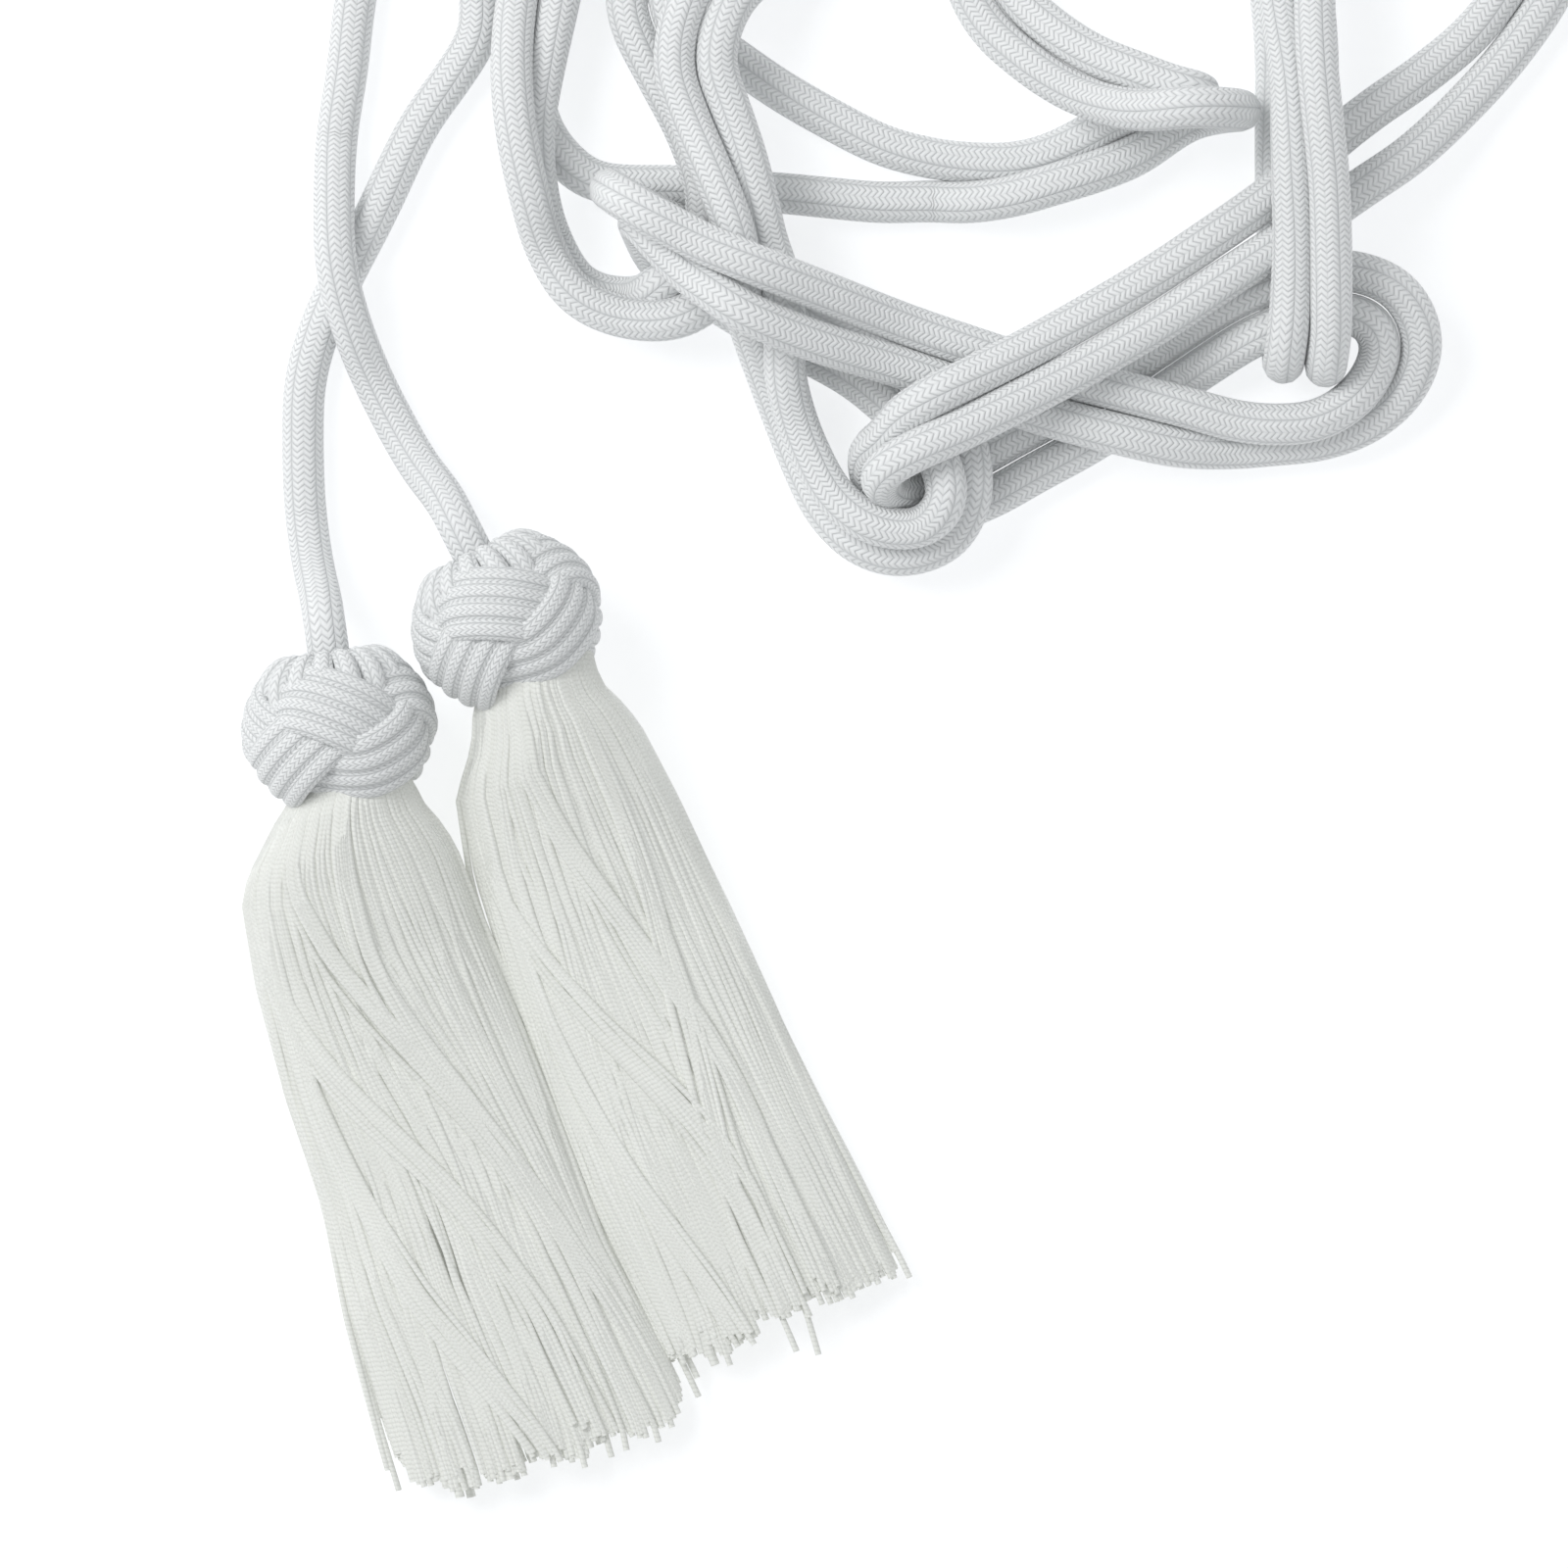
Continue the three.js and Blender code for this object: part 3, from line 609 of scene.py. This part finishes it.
# Neighbouring threads that sweep aside together
def makeLocks(rng, drift):
    widths = [rng.uniform(*fringe["lockWidth"]) for _ in range(fringe["locks"])]
    edges = np.concatenate([[0], np.cumsum(widths)]) / sum(widths)
    edges[-1] = 1.001  # the last lock holds the edge itself
    return [
        {
            "start": start,
            "end": end,
            "drift": rng.uniform(*drift),
            "wave": rng.uniform(*fringe["lockWave"]),
            "phase": rng.uniform(*fringe["lockPhase"]),
            "bunch": rng.uniform(*fringe["lockBunch"]),
            "lift": rng.uniform(*fringe["lockLift"]),
            "length": rng.gauss(0, fringe["lockEnd"]),
        }
        for start, end in zip(edges[:-1], edges[1:])
    ]


# The even threads, then the strays and the groups that cross over the rest
def listThreads(side):
    threads = [{**plainThread, "place": index * goldenShare % 1} for index in range(fringe["threads"])]
    for place, length, bow, aside in fringe[side + "Strays"]:
        stray = {"place": place, "length": length, "bow": bow, "aside": aside, "loose": True}
        threads.append({**plainThread, **stray})
    for start, width, shift, late in fringe[side + "Sweeps"]:
        for number in range(fringe["sweepThreads"]):
            place = start + width * (number / fringe["sweepThreads"] - 0.5)
            threads.append({**plainThread, "place": place, "shift": shift, "late": late, "loose": True})
    return threads


# How far across the skirt a thread lies, from 0 at the left edge to 1 at the right one
def spotAcross(thread, share):
    place, lock, follow, wave = thread["place"], thread["lock"], thread["follow"], thread["wave"]
    inwards = math.sin(math.pi * min(1, 1.15 * share))
    spot = place + thread["fromMiddle"] * lock["bunch"] * follow * inwards
    sideways = eased(1.3 * share - 0.05) * 4 * place * (1 - place)
    spot += (lock["drift"] * follow + thread["drift"]) * sideways
    lockWave = math.sin(fringe["lockAngle"] * share + lock["phase"])
    spot += lock["wave"] * follow * lockWave * eased(3 * share)
    slow = fringe["slowWave"] * wave[0] * math.sin(fringe["slowAngle"] * share + 3 * wave[1])
    quick = fringe["quickWave"] * wave[2] * math.sin(fringe["quickAngle"] * share + 3 * wave[3])
    spot += slow + quick
    crossing = eased((share - thread["late"]) / fringe["sweepLength"])
    return min(max(spot + thread["shift"] * crossing, 0.0), 1.0)


def threadPath(side, thread):
    settings = knotSettings[side]
    angle = math.radians(settings["fringeTurn"] - 90)
    down = np.array([math.cos(angle), math.sin(angle), 0.0])
    across = np.array([-down[1], down[0], 0.0])
    centre = np.array([*settings["place"], 0.0])
    knotTurn = math.radians(settings["turn"] - settings["fringeTurn"])
    radius, lock, layer = fringe["thread"] / 2, thread["lock"], thread["layer"]
    crown = fringe["crown"] * (math.cos(math.pi * thread["fromMiddle"] / (lock["end"] - lock["start"])) - 1)
    path = []
    for k in range(fringe["stations"]):
        share = k / (fringe["stations"] - 1)
        along = fringe["start"] + (thread["stop"] - fringe["start"]) * share
        middle, half, under, top = fringeSection(side, along)
        phi = math.pi * (1 - spotAcross(thread, share))
        phi = phi if thread["upper"] else -phi
        y = middle + (half - radius) * layer * math.cos(phi)
        z = under + radius + (top - under - 2 * radius) * (0.5 + 0.5 * layer * math.sin(phi))
        if thread["upper"]:
            z += (crown + lock["lift"]) * thread["follow"] * math.sin(phi) * eased(2 * share)
        if thread["shift"]:
            z += fringe["sweepRise"] * math.sin(phi) * eased(4 * share)
        y += thread["bow"] * math.sin(math.pi * share) + thread["aside"] * eased(1.5 * share - 0.5)
        # the bundle in the knot's mouth spreads into the skirt
        blend = eased((along - fringe["neckEnd"]) / fringe["neckBlend"])
        neckRadius = np.interp(along, *zip(*fringe["neck"])) * layer
        neckY = along * math.sin(knotTurn) + neckRadius * math.cos(phi)
        neckZ = knotSettings["diameter"] / 2 + neckRadius * math.sin(phi)
        y = neckY + (y - neckY) * blend
        z = max(neckZ + (z - neckZ) * blend, fringe["innerThickness"] * radius + fringe["tableGap"])
        path.append(centre + down * along + across * y + np.array([0, 0, z]))
    return path


def makeFringe(side):
    rng = random.Random(fringe["seeds"][side])
    ends = fringe[side + "Ends"]
    lockLayers = [makeLocks(rng, fringe[side + "Drift"]) for _ in fringe["layers"]]
    parts, shades = [], []
    for index, thread in enumerate(listThreads(side)):
        place = thread["place"]
        row = index % len(fringe["layers"])
        thread["layer"] = 1.0 if thread["loose"] else fringe["layers"][row]
        thread["upper"] = thread["loose"] or index % fringe["underEvery"] > 0
        inner = thread["layer"] <= fringe["innerLayer"]
        thread["follow"] = fringe["innerFollow"] if inner else 1
        if thread["shift"]:
            thread["follow"] = fringe["sweepFollow"]
        lock = next(lock for lock in lockLayers[row] if place <= lock["end"])
        thread["lock"] = lock
        thread["fromMiddle"] = (lock["start"] + lock["end"]) / 2 - place
        thread["wave"] = [rng.uniform(-1, 1) for _ in range(4)]
        end = np.interp(place, np.linspace(0, 1, len(ends)), ends) + lock["length"]
        end += rng.gauss(0, fringe["ownEnd"])
        thread["stop"] = (thread["length"] or end) * fringe["length"]
        thread["drift"] = rng.gauss(0, fringe["ownDrift"])
        path = threadPath(side, thread)
        radius = fringe["thread"] / 2 * (fringe["innerThickness"] if inner else 1)
        verts, quads, uvs = tubeArrays(
            path, radius, fringe["sides"], twist=fringe["twist"], firstUp=(0.02, 0.01, 1)
        )
        uvs[:, 1] += 2 * rng.random()
        parts.append((verts, quads, uvs))
        shades.append(np.full(len(verts), rng.random()))
    threads = meshObject(side + "_threads", *joinArrays(parts), np.concatenate(shades))
    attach(threads, "root")
    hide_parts(side + "_tassel")
    return threads


fringes = {side: makeFringe(side) for side in ("left", "right")}
print("fringes made")

# Materials


# Short names for a material's nodes
class Nodes:
    def __init__(self, name):
        self.material = bpy.data.materials.new(name)
        self.material.use_nodes = True
        self.tree = self.material.node_tree
        self.shader = self.tree.nodes["Principled BSDF"]

    def add(self, kind, **values):
        node = self.tree.nodes.new(kind)
        for key, value in values.items():
            setattr(node, key, value)
        return node

    def link(self, source, target):
        if isinstance(source, (int, float)):
            target.default_value = source
        else:
            self.tree.links.new(source, target)

    def math(self, operation, a, b=0.0, c=None):
        node = self.add("ShaderNodeMath", operation=operation)
        self.link(a, node.inputs[0])
        self.link(b, node.inputs[1])
        if c is not None:
            self.link(c, node.inputs[2])
        return node.outputs[0]

    def mix(self, share, first, second):
        node = self.add("ShaderNodeMix", data_type="RGBA")
        self.link(share, node.inputs["Factor"])
        for value, socket in ((first, node.inputs["A"]), (second, node.inputs["B"])):
            if isinstance(value, tuple):
                socket.default_value = (*value, 1)
            else:
                self.tree.links.new(value, socket)
        return node.outputs["Result"]

    def noise(self, scale):
        coordinates = self.add("ShaderNodeTexCoord")
        node = self.add("ShaderNodeTexNoise")
        node.inputs["Scale"].default_value = scale
        node.inputs["Detail"].default_value = 2.0
        self.tree.links.new(coordinates.outputs["Object"], node.inputs["Vector"])
        return node.outputs["Fac"]

    def bump(self, height, distance, strength):
        node = self.add("ShaderNodeBump")
        node.inputs["Distance"].default_value = distance
        node.inputs["Strength"].default_value = strength
        self.tree.links.new(height, node.inputs["Height"])
        self.tree.links.new(node.outputs["Normal"], self.shader.inputs["Normal"])


# What the braid and the knots' plies have in common
knitLook = {
    "slant": 0.8,
    "fuzz": 0.12,
    "fuzzScale": 2600.0,
    "patches": 0.1,
    "patchScale": 38.0,
}
braidLook = {
    **knitLook,
    "light": (0.89, 0.9, 0.9),
    # dark: the colour of painted shade in the grooves between stitches and rows, and of the darker random
    # patches
    "dark": (0.54, 0.56, 0.57),
    "rows": cordSettings["rows"],
    "pitch": 1.25,
    "bump": 0.0004,
    "grooveShadeAndTone": 0.65,
}
plyLook = {
    **knitLook,
    "light": (0.87, 0.88, 0.88),
    # dark: the colour of painted shade in the grooves between stitches and rows, and of the darker random
    # patches
    "dark": (0.52, 0.54, 0.54),
    "rows": 8,
    "pitch": 1.3,
    "bump": 0.0003,
    "grooveShadeAndTone": 0.8,
}


# Lengthwise rows of slanted stitches that meet in a V
def knittedMaterial(name, look):
    n = Nodes(name)
    uv = n.add("ShaderNodeUVMap", uv_map="along")
    parts = n.add("ShaderNodeSeparateXYZ")
    n.link(uv.outputs["UV"], parts.inputs[0])
    across = n.math("MULTIPLY", parts.outputs["X"], look["rows"])
    inRow = n.math("FRACT", across)
    fromMiddle = n.math("ABSOLUTE", n.math("SUBTRACT", inRow, 0.5))
    along = n.math("DIVIDE", parts.outputs["Y"], look["pitch"])
    slanted = n.math("ADD", along, n.math("MULTIPLY", fromMiddle, 2 * look["slant"]))
    stitch = n.math("ABSOLUTE", n.math("SINE", n.math("MULTIPLY", slanted, math.pi)))
    stitch = n.math("POWER", stitch, 0.5)
    row = n.math("POWER", n.math("SINE", n.math("MULTIPLY", inRow, math.pi)), 0.4)
    # every other groove is the deeper one
    groove = n.math("MULTIPLY", n.math("FRACT", n.math("DIVIDE", n.math("ROUND", across), 2.0)), 2.0)
    depth = n.math("MULTIPLY_ADD", groove, 0.7, 0.3)
    row = n.math("SUBTRACT", 1.0, n.math("MULTIPLY", n.math("SUBTRACT", 1.0, row), depth))
    height = n.math("MULTIPLY", n.math("MULTIPLY_ADD", stitch, 0.7, 0.3), row)
    fuzz = n.noise(look["fuzzScale"])
    height = n.math("ADD", height, n.math("MULTIPLY", fuzz, look["fuzz"]))
    patch = n.noise(look["patchScale"])
    # painted shade: the colour darkens where the stitches are low, in the grooves between stitches and
    # rows; the noise patches add a random tone
    grooveShadeAndTone = n.math("MULTIPLY", n.math("SUBTRACT", 1.0, n.math("MINIMUM", height, 1.0)), look["grooveShadeAndTone"])
    grooveShadeAndTone = n.math("ADD", grooveShadeAndTone, n.math("MULTIPLY", patch, look["patches"]))
    n.link(n.mix(grooveShadeAndTone, look["light"], look["dark"]), n.shader.inputs["Base Color"])
    n.bump(height, look["bump"], 0.9)
    n.shader.inputs["Roughness"].default_value = 0.8
    n.shader.inputs["Sheen Weight"].default_value = 0.25
    n.shader.inputs["Sheen Roughness"].default_value = 0.5
    n.shader.inputs["Specular IOR Level"].default_value = 0.3
    return n.material


threadLook = {
    "light": (0.82, 0.83, 0.795),
    # dark: the colour of painted shade in the groove of the twist, and of the darker threads
    "dark": (0.64, 0.65, 0.6),
    "pitch": 1.0,
    "bump": 0.0001,
    "grooveShadeAndTone": 0.5,
    "differences": 0.25,  # between one thread and the next
    # painted light: how strongly the threads glow
    "paintedGlow": 0.09,
}


# Two strands twisted together
def threadMaterial(name, look):
    n = Nodes(name)
    uv = n.add("ShaderNodeUVMap", uv_map="along")
    parts = n.add("ShaderNodeSeparateXYZ")
    n.link(uv.outputs["UV"], parts.inputs[0])
    turned = n.math("ADD", n.math("DIVIDE", parts.outputs["Y"], look["pitch"]), parts.outputs["X"])
    ply = n.math("ABSOLUTE", n.math("SINE", n.math("MULTIPLY", turned, math.pi)))
    ply = n.math("POWER", ply, 0.5)
    shade = n.add("ShaderNodeAttribute", attribute_name="shade")
    # painted shade: darker in the groove between the twisted strands; the shade attribute adds a random
    # tone, thread by thread
    grooveShadeAndTone = n.math("MULTIPLY", n.math("SUBTRACT", 1.0, ply), look["grooveShadeAndTone"])
    grooveShadeAndTone = n.math("ADD", grooveShadeAndTone, n.math("MULTIPLY", shade.outputs["Fac"], look["differences"]))
    n.link(n.mix(grooveShadeAndTone, look["light"], look["dark"]), n.shader.inputs["Base Color"])
    # painted light: an even glow on every thread stands in for light that comes through the thin threads
    # and lifts the shade between them
    n.shader.inputs["Emission Color"].default_value = (*look["light"], 1)
    n.shader.inputs["Emission Strength"].default_value = look["paintedGlow"]
    n.bump(ply, look["bump"], 0.8)
    n.shader.inputs["Roughness"].default_value = 0.72
    n.shader.inputs["Sheen Weight"].default_value = 0.25
    n.shader.inputs["Sheen Roughness"].default_value = 0.4
    n.shader.inputs["Specular IOR Level"].default_value = 0.35
    return n.material


braid = knittedMaterial("braid", braidLook)
plies = knittedMaterial("knitted_plies", plyLook)
threads = threadMaterial("twisted_thread", threadLook)
cord.data.materials.append(braid)
for side in ("left", "right"):
    knots[side].data.materials.append(plies)
    fringes[side].data.materials.append(threads)
print("materials set")

# Table and light, in metres
stageSettings = {
    "table": (0.5, 0.505, 0.51),
    "tableSize": 12,
    "tableDepth": 0.0001,  # below the part, so that the two don't share a face
    "tableLight": (0.98, 0.99, 1),
    "tableGlow": 0.65,
    "world": (0.97, 0.985, 1.0),
    "worldStrength": 0.6,
    "keyPlace": (-0.9, 0.7, 1.3),
    "keyAim": (0.03, 0.04, 0),
    "keySize": 0.9,
    "keyPower": 14.0,
}


def addTable(settings):
    bpy.ops.mesh.primitive_plane_add(size=settings["tableSize"], location=(0, 0, -settings["tableDepth"]))
    table = bpy.context.object
    table.name = "table"
    n = Nodes("table_top")
    n.shader.inputs["Base Color"].default_value = (*settings["table"], 1)
    n.shader.inputs["Emission Color"].default_value = (*settings["tableLight"], 1)
    n.shader.inputs["Emission Strength"].default_value = settings["tableGlow"]
    n.shader.inputs["Roughness"].default_value = 0.9
    n.shader.inputs["Specular IOR Level"].default_value = 0.0
    table.data.materials.append(n.material)
    bpy.ops.object.select_all(action="DESELECT")


def addLights(settings):
    world = bpy.data.worlds.new("room")
    bpy.context.scene.world = world
    world.use_nodes = True
    background = world.node_tree.nodes["Background"]
    background.inputs["Color"].default_value = (*settings["world"], 1)
    background.inputs["Strength"].default_value = settings["worldStrength"]
    bpy.ops.object.light_add(type="AREA", location=settings["keyPlace"])
    key = bpy.context.object
    key.data.size = settings["keySize"]
    key.data.energy = settings["keyPower"]
    aim = Vector(settings["keyAim"]) - key.location
    key.rotation_euler = aim.to_track_quat("-Z", "Y").to_euler()
    bpy.context.scene.view_settings.view_transform = "Standard"


addTable(stageSettings)
addLights(stageSettings)
print("stage set")
